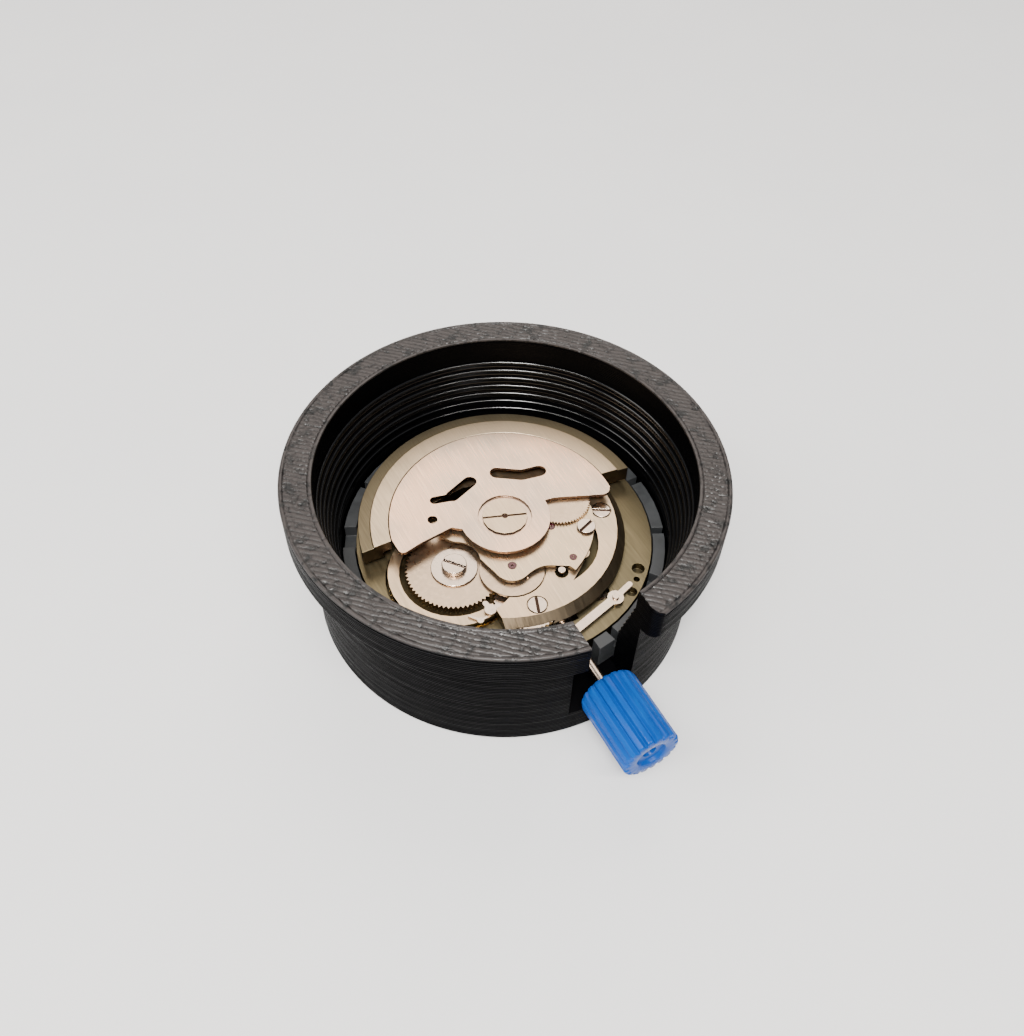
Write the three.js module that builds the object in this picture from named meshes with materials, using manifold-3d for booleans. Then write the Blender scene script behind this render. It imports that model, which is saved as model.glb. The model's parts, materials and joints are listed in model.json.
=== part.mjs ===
// Watch movement holder: a printed cup that carries an automatic movement on its back, with the
// casing ring, the winding stem and a fluted winding knob fitted.
// Millimetres, +Z up. The origin is the centre of the cup's foot, and the stem points along -Y.
import * as THREE from "three";
import { mergeVertices } from "three/addons/utils/BufferGeometryUtils.js";
import Module from "manifold-3d";

const wasm = await Module();
wasm.setup();

// Cup
const holderHeight = 15.7;
const rimRadius = 19.3;
const rimBore = 16.5;
const collarHeight = 3.5;
const collarChamfer = 0.5;
const bodyRadius = 17.55;
const edgeChamfer = 0.3;
const funnelTop = 13.0;
const funnelBottom = 7.3;
const funnelSteps = 7;
const seatBore = 15.0;
const seatHeight = 3.8;
const reliefRadius = 10;
const floorThickness = 1.5;
const slotWidth = 6;
const slotFloor = 3.0;
const slotInnerEnd = 12;
const slotCornerRadius = 1.2;

// Casing ring round the movement
const casingOuter = 14.85;
const casingInner = 13.75;
const casingHeight = 2.7;
const casingBandHeight = 1.4;
const casingNotches = 14;
const casingNotchWidth = 0.7;
const casingWideNotchWidth = 2.4;
const casingStemGap = 2.6;

// Movement: heights are above its dial side, which rests on the cup's seat
const stemAzimuth = -60;
const plateRadius = 13.6;
const plateBottom = 0.35;
const plateTop = 2.75;
const dialCoverHeight = 0.3;
const dialCoverRadius = 12.9;
const dialRecessRadius = 8;
const webBottom = 0.85;
const webTop = 1.1;
const bridgeRadius = 11.1;
const bridgeBottom = 2.8;
const bridgeTop = 4.1;
const bridgeChamfer = 0.8;
const lobeRadius = 5.9;
const lobeTop = 3.45;
const ratchetRecessFloor = 3.05;
const ratchetRecessRadius = 4.9;
const crescentFloor = 3.5;
const autoBridgeBottom = 4.3;
const autoBridgeTop = 4.62;
const stemHeight = 2.1;
const rotorBottom = 5.0;
const movementHeight = 5.32;
const rotorPlateRadius = 10.45;
const rotorLedgeRadius = 12.15;
const rotorRadius = 13.25;
const rotorHubRadius = 4.15;
const rotorWeightBottom = 3.55;
const weightStepRadius = 11.3;
const weightStepBottom = 4.2;
const runningGap = 0.05;
const pivotRadius = 0.14;

// Gear trains: tooth counts, and the pitch radii of the wheels that share a centre distance
const barrelDistance = 6.59;
const barrelTeeth = 72;
const centrePinionTeeth = 10;
const centreTeeth = 48;
const thirdPinionTeeth = 6;
const thirdTeeth = 45;
const fourthPinionTeeth = 6;
const fourthTeeth = 60;
const escapePinionTeeth = 6;
const escapeTeeth = 15;
const ratchetTeeth = 64;
const crownTeeth = 44;
const reductionPinionTeeth = 12;
const rotorGearTeeth = 60;
const centreWheelDistance = 4.3875;
const thirdWheelDistance = 3.4;
const fourthWheelDistance = 2.73;
const ratchetPitch = 4.25;
const rotorGearPitch = 2.775;
const backlash = 0.07;
const pawlToothPitch = 1.25;
const eccentricThrow = 0.15;
const escapeRadius = 2.0;
const balanceRadius = 3.9;
const motionModule = 0.12;
const cannonTeeth = 10;
const minuteTeeth = 30;
const minutePinionTeeth = 8;
const hourTeeth = 32;
const settingTeeth = 24;

// Winding stem and knob, measured outwards from the cup's axis
const stemRadius = 0.45;
const stemInnerEnd = 7.0;
const pinionStart = 8.0;
const slidingLength = 1.4;
const windingStart = 9.5;
const windingLength = 1.4;
const windingRadius = 0.95;
const windingTeeth = 14;
const knobStart = 17.85;
const knobLength = 7.05;
const knobRadius = 2.58;
const knobFlutes = 18;
const fluteDepth = 0.22;

function finish(color, roughness, metalness) {
  return new THREE.MeshStandardMaterial({ color, roughness, metalness });
}

const printedBlack = finish(0x17171a, 0.55, 0);
const ringGrey = finish(0x3c4044, 0.5, 0);
const nickel = finish(0xc9b8a6, 0.35, 0.9);
const rotorNickel = finish(0xd2beb0, 0.3, 0.9);
const weightTan = finish(0xa39a86, 0.45, 0.8);
const steel = finish(0xb9b9bd, 0.25, 0.95);
const brass = finish(0xc2a45f, 0.35, 0.9);
const ruby = finish(0x9a1840, 0.1, 0);
const knobBlue = finish(0x0a78c8, 0.4, 0);

const radians = THREE.MathUtils.degToRad;

// A point at a distance and an azimuth in degrees from another point.
function polar(distance, azimuth, [x, y] = [0, 0]) {
  const angle = radians(azimuth);
  return [x + distance * Math.cos(angle), y + distance * Math.sin(angle)];
}

function azimuthTo([x0, y0], [x1, y1]) {
  return THREE.MathUtils.radToDeg(Math.atan2(y1 - y0, x1 - x0));
}

function distanceTo([x0, y0], [x1, y1]) {
  return Math.hypot(x1 - x0, y1 - y0);
}

// Axes of the movement, laid out from the centre
const centreAxis = [0, 0];
const barrelAxis = polar(barrelDistance, -130.7);
const reductionPinionPitch = (ratchetPitch * reductionPinionTeeth) / ratchetTeeth;
const crownPitch = (ratchetPitch * crownTeeth) / ratchetTeeth;
const secondReductionAxis = polar(ratchetPitch + reductionPinionPitch + backlash, -1.1, barrelAxis);
const crownAxis = polar(ratchetPitch + crownPitch + backlash, -24, barrelAxis);
const firstReductionAxis = polar(2 * rotorGearPitch, 27);
const thirdAxis = polar(centreWheelDistance, 10);
const fourthAxis = polar(thirdWheelDistance, 125, thirdAxis);
const escapeAxis = polar(fourthWheelDistance, 150, fourthAxis);
const balanceAxis = polar(7.69, 124.9);
const forkAzimuth = azimuthTo(escapeAxis, balanceAxis);
const forkAxis = polar(2.4, forkAzimuth, escapeAxis);
const minuteDistance = (motionModule * (cannonTeeth + minuteTeeth)) / 2;
const minuteAxis = polar(minuteDistance, stemAzimuth);
const settingDistance = (motionModule * (minuteTeeth + settingTeeth)) / 2;
const settingAxis = polar(settingDistance, stemAzimuth, minuteAxis);
const settingLeverAxis = [10.0, -7.0];
const leverPinPoint = polar(12.45, stemAzimuth);
const yokeAxis = [8.6, -6.2];
const yokeTip = [5.08, -7.08];
const clickAxis = [-0.9, -9.2];
const guidePinPoint = [5.2, -5.25];
const frontScrewPoint = [3.1, -8.8];
const sideScrewPoint = [8.9, 2.1];
const autoScrewPoint = [7.4, -0.45];
const cockFootPoint = polar(9.2, 162);
const trainAxes = [thirdAxis, fourthAxis, escapeAxis, forkAxis, balanceAxis];
const autoJewels = [
  ["jewel_second_reduction", secondReductionAxis, 0.38],
  ["jewel_pawl_guide", [4.2, -0.5], 0.36],
  ["jewel_rear", [6.2, -3.9], 0.32],
];

// Pitch radii that follow from the centre distances and the tooth counts
const barrelPitch = (barrelDistance * barrelTeeth) / (barrelTeeth + centrePinionTeeth);
const centrePinionPitch = barrelDistance - barrelPitch;
const centrePitch = (centreWheelDistance * centreTeeth) / (centreTeeth + thirdPinionTeeth);
const thirdPitch = (thirdWheelDistance * thirdTeeth) / (thirdTeeth + fourthPinionTeeth);
const fourthPitch = (fourthWheelDistance * fourthTeeth) / (fourthTeeth + escapePinionTeeth);

function solidFrom(geometry) {
  const source = geometry.index ? geometry.toNonIndexed() : geometry;
  const bare = new THREE.BufferGeometry();
  bare.setAttribute("position", source.getAttribute("position"));
  const merged = mergeVertices(bare, 1e-4);
  return new wasm.Manifold(
    new wasm.Mesh({
      numProp: 3,
      vertProperties: merged.attributes.position.array,
      triVerts: new Uint32Array(merged.index.array),
    }),
  );
}

function geometryFrom(solid) {
  const mesh = solid.getMesh();
  const geometry = new THREE.BufferGeometry();
  geometry.setAttribute("position", new THREE.BufferAttribute(mesh.vertProperties, 3));
  geometry.setIndex(new THREE.BufferAttribute(mesh.triVerts, 1));
  geometry.computeVertexNormals();
  return geometry;
}

function joined(...solids) {
  return solids.reduce((whole, piece) => whole.add(piece));
}

function cut(base, ...tools) {
  return tools.reduce((left, tool) => left.subtract(tool), base);
}

// Round disc with its axis along Z.
function disc(radius, bottom, top, [x, y] = [0, 0], sides = 16) {
  const geometry = new THREE.CylinderGeometry(radius, radius, top - bottom, sides);
  return solidFrom(geometry.rotateX(Math.PI / 2).translate(x, y, (bottom + top) / 2));
}

function ring(outer, inner, bottom, top, centre = [0, 0], sides = 24) {
  const hole = disc(inner, bottom - 1, top + 1, centre, sides);
  return cut(disc(outer, bottom, top, centre, sides), hole);
}

function prism(shape, bottom, top, curveSegments = 6) {
  const options = { depth: top - bottom, bevelEnabled: false, curveSegments };
  return solidFrom(new THREE.ExtrudeGeometry(shape, options).translate(0, 0, bottom));
}

// Solid of revolution about Z from [radius, height] pairs, listed from the bottom up.
function turned(profile, sides) {
  const points = profile.map(([radius, height]) => new THREE.Vector2(radius, height));
  return solidFrom(new THREE.LatheGeometry(points, sides).rotateX(Math.PI / 2));
}

// Straight bar with round ends.
function bar(start, end, width, bottom, top, sides = 3) {
  const side = azimuthTo(start, end) + 90;
  const shape = new THREE.Shape();
  shape.absarc(...start, width / 2, radians(side), radians(side + 180));
  shape.absarc(...end, width / 2, radians(side + 180), radians(side + 360));
  return prism(shape, bottom, top, sides);
}

// Box whose long side runs outwards along an azimuth.
function radialBox(azimuth, inner, outer, width, bottom, top) {
  const geometry = new THREE.BoxGeometry(outer - inner, width, top - bottom);
  geometry.translate((inner + outer) / 2, 0, (bottom + top) / 2);
  return solidFrom(geometry.rotateZ(radians(azimuth)));
}

// Gear blank with pointed teeth: one root and one tip point a tooth.
function fineGear(teeth, pitch, toothHeight, bottom, top) {
  const points = [];
  for (let tooth = 0; tooth < teeth; tooth++) {
    const azimuth = (360 * tooth) / teeth;
    points.push(new THREE.Vector2(...polar(pitch - toothHeight / 2, azimuth)));
    points.push(new THREE.Vector2(...polar(pitch + toothHeight / 2, azimuth + 180 / teeth)));
  }
  return prism(new THREE.Shape(points), bottom, top);
}

// Gear blank with flat-topped teeth narrower than their gaps.
function gear(teeth, pitch, toothHeight, bottom, top) {
  const points = [];
  const step = 360 / teeth;
  const flank = [
    [-toothHeight / 2, -0.3],
    [toothHeight / 2, -0.12],
    [toothHeight / 2, 0.12],
    [-toothHeight / 2, 0.3],
  ];
  for (let tooth = 0; tooth < teeth; tooth++) {
    for (const [rise, share] of flank) {
      points.push(new THREE.Vector2(...polar(pitch + rise, (tooth + share) * step)));
    }
  }
  return prism(new THREE.Shape(points), bottom, top);
}

function add(parent, name, solid, material) {
  const mesh = new THREE.Mesh(geometryFrom(solid), material);
  mesh.name = name;
  parent.add(mesh);
  return mesh;
}

function addAt(parent, name, solid, material, [x, y]) {
  add(parent, name, solid, material).position.set(x, y, 0);
}

// Printed cup: a collar over a narrower body, and a stepped funnel down to the casing ring's seat.
function holderBody() {
  const profile = [
    [0, 0],
    [bodyRadius - edgeChamfer, 0],
    [bodyRadius, edgeChamfer],
    [bodyRadius, holderHeight - collarHeight - collarChamfer],
    [rimRadius - edgeChamfer, holderHeight - collarHeight],
    [rimRadius, holderHeight - collarHeight + edgeChamfer],
    [rimRadius, holderHeight - edgeChamfer],
    [rimRadius - edgeChamfer, holderHeight],
    [rimBore, holderHeight],
    [rimBore, funnelTop],
  ];
  const stepDepth = (rimBore - seatBore) / funnelSteps;
  const stepHeight = (funnelTop - funnelBottom) / funnelSteps;
  for (let step = 1; step <= funnelSteps; step++) {
    const radius = rimBore - step * stepDepth;
    profile.push([radius, funnelTop - (step - 1) * stepHeight]);
    if (step < funnelSteps) profile.push([radius, funnelTop - step * stepHeight]);
  }
  profile.push([seatBore, seatHeight]);
  profile.push([reliefRadius, seatHeight]);
  profile.push([reliefRadius, floorThickness]);
  profile.push([0, floorThickness]);
  return cut(turned(profile, 52), stemSlot());
}

// Slot for the stem, open at the top, with its outer corner on the +X side rounded.
function stemSlot() {
  const half = slotWidth / 2;
  const outside = rimRadius + 1;
  const cornerY = -Math.sqrt(rimRadius ** 2 - half ** 2) + slotCornerRadius;
  const slot = new THREE.Shape();
  slot.moveTo(-half, -slotInnerEnd);
  slot.lineTo(-half, -outside);
  slot.lineTo(half + slotCornerRadius, -outside);
  slot.lineTo(half + slotCornerRadius, cornerY - slotCornerRadius);
  slot.absarc(half + slotCornerRadius, cornerY, slotCornerRadius, radians(270), radians(180), true);
  slot.lineTo(half, -slotInnerEnd);
  return prism(slot, slotFloor, holderHeight + 1, 5);
}

// Plastic ring that fills the gap between movement and cup, notched from the top.
function casingRing() {
  let body = ring(casingOuter, casingInner, 0, casingHeight, centreAxis, 60);
  for (let notch = 0; notch < casingNotches; notch++) {
    const azimuth = stemAzimuth + (360 * (notch + 0.5)) / casingNotches;
    const width = notch % 4 === 1 ? casingWideNotchWidth : casingNotchWidth;
    body = cut(body, radialBox(azimuth, 13, 16, width, casingBandHeight, casingHeight + 1));
  }
  return cut(body, radialBox(stemAzimuth, 12, 16, casingStemGap, -1, casingHeight + 1));
}

// Blind bearing holes for the pivots of the upright arbors.
function pivotHoles(axes, bottom, top) {
  return axes.map((axis) => disc(pivotRadius + runningGap, bottom, top, axis, 8));
}

// Main plate: pockets for barrel, train and balance above, motion works below, stem channel at the edge.
function mainplate() {
  const open = plateTop + 1;
  const pockets = [
    disc(6.15, 1.38, open, barrelAxis, 32),
    disc(4.15, webTop, open, centreAxis, 20),
    disc(3.3, webTop, open, thirdAxis, 20),
    disc(2.85, webTop, open, fourthAxis, 16),
    disc(2.5, webTop, open, escapeAxis, 16),
    disc(4.2, webTop, open, balanceAxis, 24),
    disc(dialRecessRadius, -1, webBottom, centreAxis, 32),
    disc(0.35, 0, 2, centreAxis, 10),
    bar(yokeAxis, yokeTip, 1.9, 1.9, open),
    radialBox(stemAzimuth, stemInnerEnd - 0.2, 11.3, 2.6, webTop, open),
    radialBox(stemAzimuth, 11, 14, 1.3, 1.5, open),
    disc(0.6, 2.0, open, [12.2, -3.5], 12),
    disc(0.3, 2.0, open, [12.0, -4.7], 8),
    disc(0.5, 2.0, open, [11.5, -6.1], 12),
    disc(pivotRadius + runningGap, 2.0, open, settingLeverAxis, 8),
    disc(0.4 + runningGap, 0.95, 1.5, barrelAxis, 12),
    ...pivotHoles(trainAxes, 0.9, 1.2),
  ];
  const studs = [minuteAxis, settingAxis].map((axis) => disc(0.28, 0.4, 0.9, axis, 10));
  const yokeStud = disc(0.28, 1.85, 2.35, yokeAxis, 10);
  const blank = disc(plateRadius, plateBottom, plateTop, centreAxis, 60);
  return joined(cut(blank, ...pockets), ...studs, yokeStud);
}

function dialCover() {
  return cut(disc(dialCoverRadius, 0, dialCoverHeight, centreAxis, 32), disc(1.2, -1, 1));
}

// Barrel and train bridge: a wide plate right of the centre and a lower round lobe over the barrel.
function trainBridge() {
  const plan = new THREE.Shape();
  plan.moveTo(-1.7, 1.6);
  plan.lineTo(-3.4, 0.6);
  plan.lineTo(...barrelAxis);
  plan.lineTo(-0.5, -9.3);
  plan.lineTo(0.1, -10.3);
  plan.lineTo(1.0, -12);
  plan.lineTo(12, -12);
  plan.lineTo(12, 12);
  plan.lineTo(...polar(12, 97));
  const open = bridgeTop + 1;
  const under = bridgeBottom - 1;
  const edge = [
    [0, bridgeBottom],
    [bridgeRadius, bridgeBottom],
    [bridgeRadius, bridgeTop - bridgeChamfer],
    [bridgeRadius - bridgeChamfer, bridgeTop],
    [0, bridgeTop],
  ];
  const plate = prism(plan, bridgeBottom, bridgeTop).intersect(turned(edge, 56));
  const lobe = disc(lobeRadius, bridgeBottom, lobeTop, barrelAxis, 36);
  const lobeClearance = disc(lobeRadius, lobeTop, open, barrelAxis, 36);
  return cut(
    joined(cut(plate, lobeClearance), lobe),
    disc(ratchetRecessRadius, ratchetRecessFloor, open, barrelAxis, 36),
    crescentRecess(),
    disc(0.7 + runningGap, under, open, barrelAxis, 12),
    disc(crownPitch + 0.18, under, 3.47, crownAxis, 24),
    disc(reductionPinionPitch + 0.2, 3.4, open, secondReductionAxis, 12),
    disc(3.05, 3.84, open, secondReductionAxis, 32),
    disc(pivotRadius, 3.0, open, secondReductionAxis, 8),
    disc(0.62, 3.5, open, guidePinPoint, 12),
    radialBox(stemAzimuth, stemInnerEnd - 0.2, 12.5, 2.6, under, 3.2),
    disc(pivotRadius + runningGap, under, 3.2, centreAxis, 12),
    ...pivotHoles(trainAxes.slice(0, 3), under, 3.1),
    disc(0.95, 3.85, open, frontScrewPoint),
    disc(0.95, 3.85, open, sideScrewPoint),
    disc(0.4, 3.55, open, frontScrewPoint, 8),
    disc(0.4, 3.1, open, sideScrewPoint, 8),
  );
}

// Sickle-shaped recess in the bridge's top, beside the automatic bridge.
function crescentRecess() {
  const plan = new THREE.Shape();
  plan.moveTo(8.25, 0.1);
  plan.quadraticCurveTo(9.4, -3.6, 6.2, -6.1);
  plan.quadraticCurveTo(7.9, -2.8, 8.25, 0.1);
  return prism(plan, crescentFloor, bridgeTop + 1, 8);
}

// Automatic bridge over the reduction wheels: its front edge winds between the ratchet's washer
// and the second reduction wheel, and its right edge follows the rotor's centre.
function automaticBridge() {
  const lobe = 1.65;
  const plan = new THREE.Shape();
  plan.moveTo(-5.6, -2.2);
  plan.absarc(...barrelAxis, 2.35, radians(95), radians(12), true);
  plan.lineTo(...polar(lobe, -145, secondReductionAxis));
  plan.absarc(...secondReductionAxis, lobe, radians(-145), radians(-40));
  plan.quadraticCurveTo(3.1, -4.9, 4.2, -4.9);
  plan.lineTo(5.9, -4.9);
  plan.lineTo(6.4, -5.3);
  plan.quadraticCurveTo(8.4, -2.4, 8.1, 0.9);
  plan.quadraticCurveTo(7.9, 3.8, 5.4, 4.3);
  plan.quadraticCurveTo(1.0, 4.3, -2.0, 3.0);
  plan.quadraticCurveTo(-5.4, 1.4, -5.6, -2.2);
  const open = autoBridgeTop + 1;
  const plate = prism(plan, autoBridgeBottom, autoBridgeTop, 7);
  const feet = [[6.9, -3.1], [7.2, 1.4], [-3.9, 0.6]].map((foot) =>
    disc(0.8, bridgeTop + runningGap, autoBridgeBottom + 0.1, foot, 12),
  );
  const jewelSeats = autoJewels.map(([, centre, radius]) =>
    disc(radius + runningGap, autoBridgeTop - 0.12, open, centre, 10),
  );
  return cut(
    joined(plate, ...feet),
    ...jewelSeats,
    ...pivotHoles([firstReductionAxis, secondReductionAxis], 4, open),
    disc(0.9 + runningGap, autoBridgeBottom - 0.2, open, centreAxis),
    disc(0.4, autoBridgeTop - 0.1, open, guidePinPoint, 12),
    disc(0.4, 4.4, open, autoScrewPoint, 10),
  );
}

// Thrust jewel: a drilled ruby ring.
function jewel(radius, bottom, top) {
  return ring(radius, 0.12, bottom, top, centreAxis, 8);
}

function balanceCock() {
  const open = bridgeTop + 1;
  const body = joined(
    bar(balanceAxis, cockFootPoint, 3.6, bridgeBottom, bridgeTop, 5),
    disc(2.1, bridgeBottom, bridgeTop, balanceAxis),
    bar(polar(10.0, 154), polar(10.0, 170), 2.0, bridgeBottom, bridgeTop, 4),
  );
  return cut(
    body,
    disc(1.0, bridgeTop - 0.3, open, balanceAxis, 12),
    disc(0.95, bridgeTop - 0.3, open, cockFootPoint, 12),
    disc(0.4, 3.3, open, cockFootPoint, 8),
    ...pivotHoles([balanceAxis], 2, bridgeTop),
  );
}

// Screw head with a driver slot over a short threaded shank.
function screw(headRadius, headBottom, headTop, shankRadius, shankBottom, slotAzimuth) {
  const slotDepth = Math.min(0.2, (headTop - headBottom) / 2);
  const head = disc(headRadius, headBottom, headTop);
  const reach = headRadius + 1;
  const slot = radialBox(slotAzimuth, -reach, reach, 0.22, headTop - slotDepth, headTop + 1);
  if (shankRadius === 0) return cut(head, slot);
  return cut(joined(head, disc(shankRadius, shankBottom, headBottom + 0.05, centreAxis, 8)), slot);
}

// Wheel and pinion on one arbor. Each layer is [maker, teeth, pitch radius, bottom, top].
function wheelSet(layers, arborBottom, arborTop, toothHeight = 0.12) {
  const gears = layers.map(([maker, teeth, pitch, bottom, top]) =>
    maker(teeth, pitch, toothHeight, bottom, top),
  );
  return joined(disc(pivotRadius, arborBottom, arborTop, centreAxis, 8), ...gears);
}

// Flat spiral strip from an inner to an outer radius.
function spiral(inner, outer, turns, thickness, bottom, top, stepsPerTurn) {
  const steps = turns * stepsPerTurn;
  const edge = (offset) =>
    Array.from({ length: steps + 1 }, (_, step) => {
      const radius = inner + ((outer - inner) * step) / steps + offset;
      return new THREE.Vector2(...polar(radius, (360 * step) / stepsPerTurn));
    });
  const outline = [...edge(thickness / 2), ...edge(-thickness / 2).reverse()];
  return prism(new THREE.Shape(outline), bottom, top);
}

function balanceWheel() {
  const rim = ring(balanceRadius, balanceRadius - 0.5, 2.2, 2.4, centreAxis, 32);
  const arms = bar([-3.5, 0], [3.5, 0], 0.5, 2.22, 2.38, 2);
  const staff = disc(pivotRadius, 1.0, 3.5, centreAxis, 8);
  const roller = disc(0.5, 1.92, 2.05, centreAxis, 10);
  const impulsePin = disc(0.07, 1.66, 1.94, polar(0.38, forkAzimuth + 180), 6);
  return joined(rim, arms, staff, roller, impulsePin);
}

function hairspring() {
  const collet = ring(0.36, pivotRadius + runningGap, 2.48, 2.66, centreAxis, 10);
  const stud = disc(0.16, 2.5, 2.74, [2.3, 0], 6);
  return joined(collet, spiral(0.34, 2.3, 5, 0.06, 2.52, 2.62, 12), stud);
}

// Lever with two stones that straddle the escape wheel, and a fork towards the balance.
function palletFork() {
  const toEscape = distanceTo(forkAxis, escapeAxis);
  const toBalance = distanceTo(forkAxis, balanceAxis);
  const back = [Math.cos(radians(forkAzimuth + 180)), Math.sin(radians(forkAzimuth + 180))];
  const wheel = [back[0] * toEscape, back[1] * toEscape];
  const stones = [-32, 32].map((side) => {
    const inner = polar(escapeRadius + 0.16, forkAzimuth + side, wheel);
    const outer = polar(escapeRadius + 0.5, forkAzimuth + side, wheel);
    return joined(
      bar(inner, outer, 0.16, 1.7, 1.86, 3),
      bar(outer, [0, 0], 0.3, 1.7, 1.86, 3),
    );
  });
  const fork = bar([0, 0], polar(toBalance - 0.72, forkAzimuth), 0.24, 1.7, 1.86, 3);
  return joined(fork, ...stones, disc(pivotRadius, 1.0, 1.98, centreAxis, 8));
}

// Bridge over the pallet fork on two posts beside it.
function palletBridge() {
  const posts = [90, -90].map((side) => polar(1.9, forkAzimuth + side, forkAxis));
  const strap = bar(...posts, 0.7, 1.95, 2.12);
  const legs = posts.map((post) => disc(0.3, webTop + 0.02, 2.0, post, 8));
  return cut(joined(strap, ...legs), ...pivotHoles([forkAxis], 1.9, 2.2));
}

function barrelDrum() {
  const drum = joined(
    disc(5.3, 1.45, 2.35, centreAxis, 32),
    fineGear(barrelTeeth, barrelPitch, 0.26, 1.45, 1.75),
  );
  return cut(drum, disc(4.95, 1.6, 3, centreAxis, 32), disc(0.5, 1, 2, centreAxis, 10));
}

// Ratchet wheel's arbor: it passes through the drum and carries the ratchet above the bridge.
function barrelArbor() {
  return joined(
    disc(0.4, 1.0, 3.5, centreAxis, 10),
    disc(0.9, 1.65, 2.3, centreAxis, 12),
    disc(0.66, 2.75, 3.04, centreAxis, 10),
  );
}

function ratchetWheel() {
  const blank = fineGear(ratchetTeeth, ratchetPitch, 0.26, ratchetRecessFloor + 0.05, 3.8);
  return cut(blank, disc(0.45, 3, 4, centreAxis, 10));
}

// Second reduction wheel: a pinion in the ratchet wheel, a smooth disc, and the fine ratchet teeth
// that the pawl lever works.
function secondReductionWheel() {
  return joined(
    gear(reductionPinionTeeth, reductionPinionPitch, 0.24, 3.5, 3.88),
    disc(2.92, 3.87, 4.12, centreAxis, 32),
    fineGear(30, pawlToothPitch, 0.12, 4.1, 4.26),
    disc(pivotRadius - runningGap, 3.1, 4.5, centreAxis, 6),
  );
}

// First reduction wheel above the bridge, with the eccentric that works the pawl lever below it.
function firstReductionWheel() {
  return joined(
    fineGear(rotorGearTeeth, rotorGearPitch, 0.2, 4.68, 4.9),
    disc(0.25, 4.66, 4.97, centreAxis, 8),
    disc(pivotRadius - runningGap, 4.14, 4.7, centreAxis, 6),
    disc(0.28, 4.15, 4.27, [eccentricThrow, 0], 8),
  );
}

// Pawl lever: an eye round the eccentric, and two arms that reach either side of the pawl teeth.
function pawlLever() {
  const reach = distanceTo(firstReductionAxis, secondReductionAxis);
  const heading = azimuthTo(firstReductionAxis, secondReductionAxis);
  const arms = [90, -90].map((side) => {
    const tip = polar(pawlToothPitch + 0.36, heading + side, polar(reach, heading));
    return bar(polar(0.66, heading + side / 3), tip, 0.36, 4.16, 4.26);
  });
  return joined(ring(0.85, 0.55, 4.16, 4.26, centreAxis, 12), ...arms);
}

function rotorGear() {
  const gearRing = fineGear(rotorGearTeeth, rotorGearPitch, 0.2, 4.68, 4.92);
  const race = disc(2.3, 4.9, 4.98);
  return cut(joined(gearRing, race), disc(1.35, 4, 6));
}

// Rotor disc: a half round plate with a hub lobe, two dog-leg slots and a small hole.
function rotorPlate() {
  const plan = new THREE.Shape();
  plan.moveTo(...polar(rotorHubRadius, 205));
  plan.absarc(0, 0, rotorHubRadius, radians(205), radians(389));
  plan.quadraticCurveTo(4.3, 2.4, 5.3, 2.5);
  plan.lineTo(9.0, 3.0);
  plan.quadraticCurveTo(9.7, 3.2, 9.6, 3.9);
  plan.lineTo(...polar(12, 22));
  plan.lineTo(12, 12);
  plan.lineTo(-12, 12);
  plan.lineTo(...polar(12, 198.5));
  plan.lineTo(...polar(rotorPlateRadius, 198.5));
  plan.lineTo(-9.3, -4.3);
  plan.quadraticCurveTo(-9.0, -4.9, -8.4, -4.5);
  plan.lineTo(-7.3, -3.5);
  plan.lineTo(-4.7, -1.6);
  plan.lineTo(...polar(rotorHubRadius, 205));
  const open = movementHeight + 1;
  const under = rotorBottom - 1;
  const round = disc(rotorPlateRadius, rotorBottom, movementHeight, centreAxis, 64);
  const leftSlot = joined(
    bar([-6.5, 1.5], [-4.95, 1.95], 0.85, under, open),
    bar([-4.9, 2.1], [-3.4, 3.95], 1.25, under, open),
  );
  const rightSlot = joined(
    bar([-0.95, 5.2], [1.4, 5.05], 1.3, under, open),
    bar([1.4, 5.05], [3.05, 5.65], 1.3, under, open),
  );
  return cut(
    prism(plan, rotorBottom, movementHeight, 8).intersect(round),
    leftSlot,
    rightSlot,
    disc(0.45, under, open, [-6.5, -0.8], 12),
    disc(2.45, rotorBottom + 0.12, open, centreAxis, 24),
    disc(1.35, under, open),
  );
}

// Half round weight outside the plate, with a lower ledge along its rim; below, it clears the bridges.
function rotorWeight() {
  const sector = new THREE.Shape();
  sector.absarc(0, 0, rotorRadius, radians(30), radians(201));
  sector.absarc(0, 0, rotorPlateRadius + runningGap, radians(199), radians(32), true);
  const rim = prism(sector, rotorWeightBottom, movementHeight, 30);
  const ledge = ring(rotorRadius + 1, rotorLedgeRadius, movementHeight - 0.15, 7, centreAxis, 60);
  return cut(rim, ledge, disc(weightStepRadius, 3, weightStepBottom, centreAxis, 60));
}

// Fixed race that the rotor turns on, seated on the train bridge.
function bearingCore() {
  const profile = [
    [0, bridgeTop + 0.02],
    [0.9, bridgeTop + 0.02],
    [0.9, 4.64],
    [1.3, 4.64],
    [1.3, 5.12],
    [0.55, 5.12],
    [0.55, 4.5],
    [0, 4.5],
  ];
  return turned(profile, 16);
}

function rotorScrew() {
  const head = screw(2.05, 5.17, 5.31, 0.5, 4.6, 10);
  return cut(head, disc(0.3, 5.22, 6, centreAxis, 10));
}

// Click: a pawl on a stud beside the ratchet wheel, its beak close to the teeth.
function click() {
  const toWheel = azimuthTo(clickAxis, barrelAxis);
  const beak = polar(distanceTo(clickAxis, barrelAxis) - ratchetPitch - 0.38, toWheel);
  return joined(disc(0.55, 3.5, 3.75), bar([0, 0], beak, 0.5, 3.5, 3.75));
}

function clickSpring() {
  const anchor = [-1.7, -10.3];
  return joined(
    bar([-2.7, -9.9], anchor, 0.22, 3.5, 3.65, 3),
    bar(anchor, [-1.2, -9.95], 0.22, 3.5, 3.65, 3),
    disc(0.3, lobeTop + 0.02, 3.65, anchor, 10),
  );
}

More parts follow.
